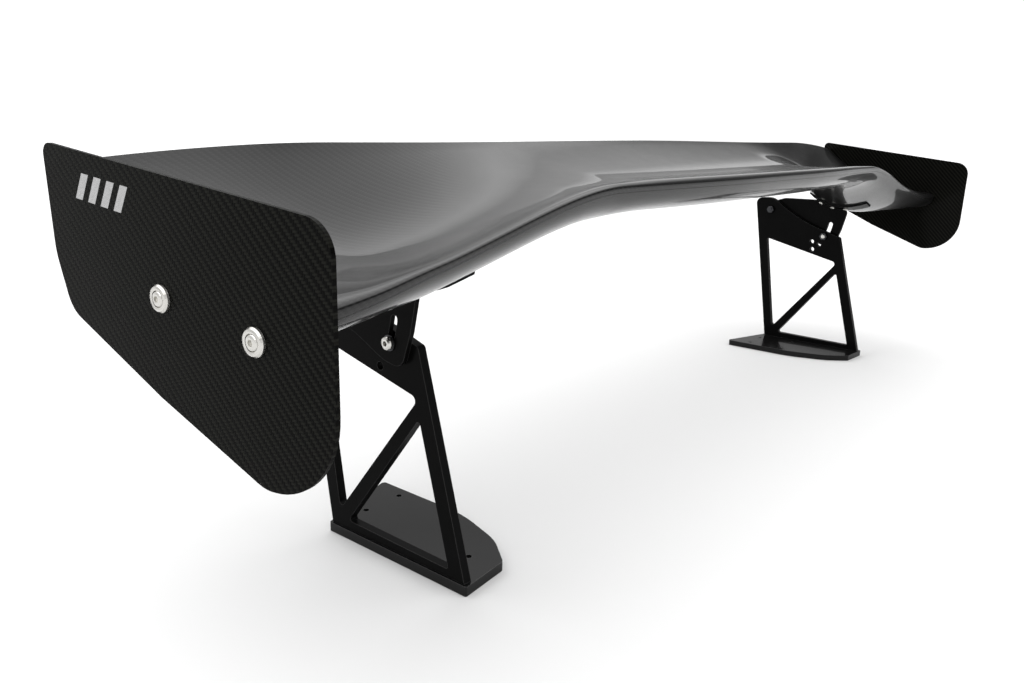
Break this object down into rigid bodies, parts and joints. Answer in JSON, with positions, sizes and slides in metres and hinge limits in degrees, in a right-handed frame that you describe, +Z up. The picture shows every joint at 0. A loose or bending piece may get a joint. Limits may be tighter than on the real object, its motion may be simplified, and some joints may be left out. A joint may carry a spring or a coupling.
{
  "type": "racing rear wing",
  "caption": "Adjustable racing rear wing: a clear-coated woven carbon aerofoil with end plates on black open-frame pedestals, tilting on side brackets.",
  "frame": {"origin": "on the mounting plane Z = 0 under the two base plates, at the centre of the whole wing's width and depth", "axes": "+X along the span to the right-hand end plate, +Y rearwards from the leading edge to the trailing edge, +Z up"},
  "size_m": [1.7234, 0.3529, 0.4275],
  "materials": {
    "carbon_gloss": "clear-coated woven carbon fibre laminate",
    "carbon_satin": "satin woven carbon fibre plate",
    "black_anodised": "black anodised plate with bright cut edges",
    "stainless": "turned stainless steel",
    "aluminium": "bare machined aluminium, hidden inside the wing",
    "black_oxide": "black oxide",
    "glass_fibre": "bare laminate, hidden inside the wing",
    "nylon": "natural nylon"
  },
  "bodies": {
    "pedestals": {"base_plate_left": "black_anodised", "base_plate_right": "black_anodised", "base_screw_1_left": "black_oxide", "base_screw_1_right": "black_oxide", "base_screw_2_left": "black_oxide", "base_screw_2_right": "black_oxide", "lock_bolt_left": "stainless", "lock_bolt_right": "stainless", "lock_nut_left": "stainless", "lock_nut_right": "stainless", "lock_spacer_left": "nylon", "lock_spacer_right": "nylon", "lock_washer_left": "stainless", "lock_washer_right": "stainless", "pivot_bolt_left": "stainless", "pivot_bolt_right": "stainless", "pivot_nut_left": "stainless", "pivot_nut_right": "stainless", "pivot_spacer_left": "nylon", "pivot_spacer_right": "nylon", "pivot_washer_left": "stainless", "pivot_washer_right": "stainless", "upright_left": "black_anodised", "upright_right": "black_anodised"},
    "wing": {"bracket_insert_left": "aluminium", "bracket_insert_right": "aluminium", "bracket_left": "black_anodised", "bracket_right": "black_anodised", "cup_washer_front_left": "stainless", "cup_washer_front_right": "stainless", "cup_washer_rear_left": "stainless", "cup_washer_rear_right": "stainless", "end_plate_left": "carbon_satin", "end_plate_right": "carbon_satin", "end_rib_left": "aluminium", "end_rib_right": "aluminium", "flange_screw_1_left": "stainless", "flange_screw_1_right": "stainless", "flange_screw_2_left": "stainless", "flange_screw_2_right": "stainless", "flange_screw_3_left": "stainless", "flange_screw_3_right": "stainless", "front_spar": "glass_fibre", "plate_bolt_front_left": "stainless", "plate_bolt_front_right": "stainless", "plate_bolt_rear_left": "stainless", "plate_bolt_rear_right": "stainless", "rear_spar": "glass_fibre", "wing_lower_skin": "carbon_gloss", "wing_upper_skin": "carbon_gloss"}
  },
  "joints": [
    {"name": "angle_of_attack", "type": "hinge", "parent": "pedestals", "child": "wing", "pos_m": [0, 0.143, 0.285], "axis": [1, 0, 0], "range_deg": [0, 10]}
  ]
}
